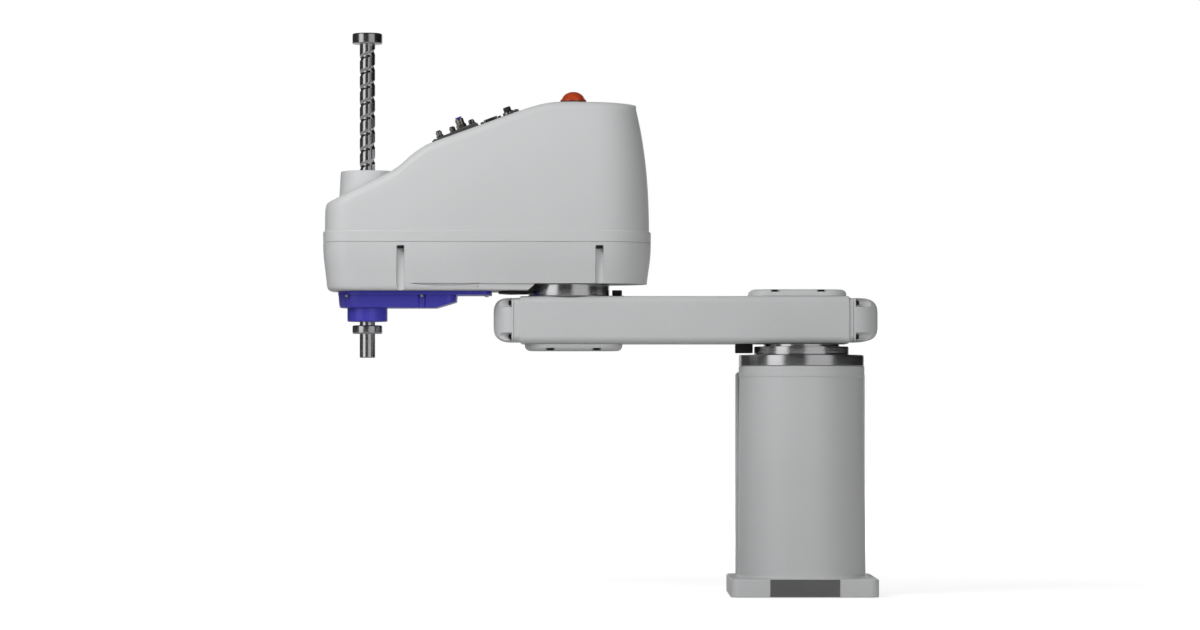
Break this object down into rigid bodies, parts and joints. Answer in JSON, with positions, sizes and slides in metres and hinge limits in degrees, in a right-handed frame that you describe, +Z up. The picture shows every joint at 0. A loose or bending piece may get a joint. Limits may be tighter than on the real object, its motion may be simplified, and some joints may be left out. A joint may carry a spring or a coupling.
{
  "type": "scara robot",
  "caption": "Column-mounted SCARA robot arm: two horizontal arms turn on vertical axes and carry a ball-screw spline shaft that lifts and turns.",
  "frame": {"origin": "on the first joint's vertical axis, in the plane of the base flange's underside", "axes": "+Z up along the column; -X along the straight arms from the column to the shaft; -Y towards the base's machined reference face, +Y towards the connectors"},
  "size_m": [0.89, 0.2581, 0.904],
  "materials": {
    "cast_grey": "smooth light grey paint on a casting",
    "cover_grey": "fine satin light grey moulding",
    "polished_steel": "turned and polished",
    "machined_steel": "machined",
    "machined_aluminium": "machined",
    "black_steel": "black oxide",
    "black_plastic": "fine grain",
    "dark_panel": "dark grey",
    "blue_plastic": "satin blue moulding",
    "orange_lens": "translucent orange-red moulding",
    "belt_rubber": "toothed belt rubber"
  },
  "bodies": {
    "base": {"base_housing": "cast_grey", "base_rear_cover": "cover_grey", "connector_panel": "machined_aluminium", "power_connector": "black_plastic", "signal_connector": "black_plastic", "user_connector": "machined_steel", "base_air_fitting_1": "black_plastic", "base_air_fitting_2": "black_plastic", "joint1_fixed_ring": "polished_steel", "joint1_reducer": "machined_steel", "joint1_motor": "black_plastic", "joint1_stop_bolt_1": "black_steel", "joint1_stop_bolt_2": "black_steel"},
    "arm1": {"arm1_casting": "cast_grey", "arm1_cap_joint1": "cast_grey", "arm1_cap_joint2": "cast_grey", "arm1_top_cover": "cover_grey", "arm1_bottom_cover": "cover_grey", "joint1_output_flange": "polished_steel", "joint1_stop_block": "black_steel", "joint2_reducer": "polished_steel", "joint2_stop_bolt": "black_steel"},
    "arm2": {"arm2_casting": "cast_grey", "arm2_upper_cover": "cover_grey", "arm2_cover_screw_1": "black_steel", "arm2_cover_screw_2": "black_steel", "arm2_cover_screw_3": "black_steel", "arm2_cover_screw_4": "black_steel", "bottom_cover": "blue_plastic", "joint2_output_flange": "machined_steel", "joint2_motor": "black_plastic", "joint2_stop_plate": "black_steel", "z_bracket": "machined_aluminium", "z_bearing": "machined_steel", "z_motor": "black_plastic", "z_belt": "belt_rubber", "u_bearing": "machined_steel", "u_motor": "black_plastic", "u_belt": "belt_rubber", "user_panel": "dark_panel", "air_fitting_1": "machined_steel", "air_fitting_2": "machined_steel", "air_fitting_3": "machined_steel", "large_air_fitting": "machined_steel", "large_fitting_collar": "blue_plastic", "user_dsub_connector": "machined_steel", "brake_button_bezel": "machined_steel", "status_lamp_seat": "black_plastic", "status_lamp_lens": "orange_lens"},
    "z_nut": {"z_ball_screw_nut": "machined_steel", "z_nut_pulley": "machined_aluminium"},
    "z_pulley": {"z_motor_pulley": "machined_aluminium"},
    "u_rotor": {"u_spline_nut": "machined_steel", "u_nut_pulley": "machined_aluminium"},
    "u_pulley": {"u_motor_pulley": "machined_aluminium"},
    "shaft": {"spline_shaft": "polished_steel", "upper_collar": "machined_steel", "lower_collar": "machined_steel"},
    "button": {"brake_release_button": "black_plastic"}
  },
  "joints": [
    {"name": "joint1_turn", "type": "hinge", "parent": "base", "child": "arm1", "pos_m": [0, 0, 0.3857], "axis": [0, 0, 1], "range_deg": [-42, 222]},
    {"name": "joint2_turn", "type": "hinge", "parent": "arm1", "child": "arm2", "pos_m": [-0.375, 0, 0.4993], "axis": [0, 0, 1], "range_deg": [-140, 140]},
    {"name": "u_turn", "type": "hinge", "parent": "arm2", "child": "u_rotor", "pos_m": [-0.7, 0, 0.47], "axis": [0, 0, 1], "range_deg": [-360, 360]},
    {"name": "z_slide", "type": "slide", "parent": "u_rotor", "child": "shaft", "axis": [0, 0, 1], "range_m": [-0.18, 0]},
    {"name": "z_nut_turn", "type": "hinge", "parent": "arm2", "child": "z_nut", "pos_m": [-0.7, 0, 0.62], "axis": [0, 0, 1], "range_deg": [0, 2592.5]},
    {"name": "z_motor_turn", "type": "hinge", "parent": "arm2", "child": "z_pulley", "pos_m": [-0.525, 0, 0.61], "axis": [0, 0, 1], "range_deg": [0, 6481]},
    {"name": "u_motor_turn", "type": "hinge", "parent": "arm2", "child": "u_pulley", "pos_m": [-0.607, 0, 0.475], "axis": [0, 0, 1], "range_deg": [-901, 901]},
    {"name": "brake_button_press", "type": "slide", "parent": "arm2", "child": "button", "axis": [0.3475, 0, -0.9377], "range_m": [0, 0.002], "stiffness_N_per_m": 600}
  ],
  "couplings": [
    {"joint": "z_nut_turn", "follows": "z_slide", "rad_per_m": -251.33},
    {"joint": "z_motor_turn", "follows": "z_slide", "rad_per_m": -628.32},
    {"joint": "u_motor_turn", "follows": "u_turn", "ratio": 2.5}
  ]
}
